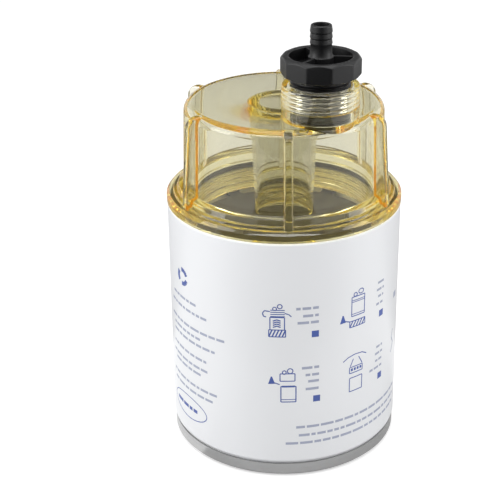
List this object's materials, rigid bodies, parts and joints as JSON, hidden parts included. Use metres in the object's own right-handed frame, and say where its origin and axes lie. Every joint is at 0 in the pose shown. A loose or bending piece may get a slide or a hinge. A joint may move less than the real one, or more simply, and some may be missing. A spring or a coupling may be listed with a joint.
{
  "type": "fuel water separator",
  "caption": "Spin-on fuel filter can with a pleated element, a clear ribbed water bowl screwed into its mouth and an off-centre hand drain valve with a hose stem.",
  "frame": {"origin": "centre of the mounting gasket's face, on the can's axis", "axes": "+Z along the can's axis from the mounting end to the drain, -Y towards the drain boss"},
  "size_m": [0.0944, 0.0944, 0.1801],
  "materials": {
    "white_paint": "gloss",
    "zinc": "satin",
    "steel": "satin",
    "rubber": "matte",
    "cap": "satin",
    "filter_paper": "matte",
    "bowl_clear": "gloss",
    "black_plastic": "satin"
  },
  "bodies": {
    "filter": {"can_shell": "white_paint", "seam_cover": "zinc", "mount_gasket": "rubber", "end_plate": "steel", "grommet": "rubber", "upper_cap": "cap", "filter_media": "filter_paper", "core_tube": "zinc", "lower_cap": "cap"},
    "bowl_thread": {"bowl_seal": "rubber"},
    "bowl": {"bowl": "bowl_clear"},
    "valve_thread": {"valve_seal": "rubber", "nose_seal": "rubber"},
    "drain_valve": {"drain_valve": "black_plastic"}
  },
  "joints": [
    {"name": "bowl_lift", "type": "slide", "parent": "filter", "child": "bowl_thread", "axis": [0, 0, 1], "range_m": [0, 0.0076]},
    {"name": "bowl_turn", "type": "hinge", "parent": "bowl_thread", "child": "bowl", "pos_m": [0, 0, 0.0975], "axis": [0, 0, 1], "range_deg": [0, 1080]},
    {"name": "drain_lift", "type": "slide", "parent": "bowl", "child": "valve_thread", "axis": [0, 0, 1], "range_m": [0, 0.00699]},
    {"name": "drain_turn", "type": "hinge", "parent": "valve_thread", "child": "drain_valve", "pos_m": [0, -0.0256, 0.151], "axis": [0, 0, 1], "range_deg": [0, 1440]}
  ],
  "couplings": [
    {"joint": "bowl_turn", "follows": "bowl_lift", "rad_per_m": 2473.7},
    {"joint": "drain_turn", "follows": "drain_lift", "rad_per_m": 3590.4}
  ]
}
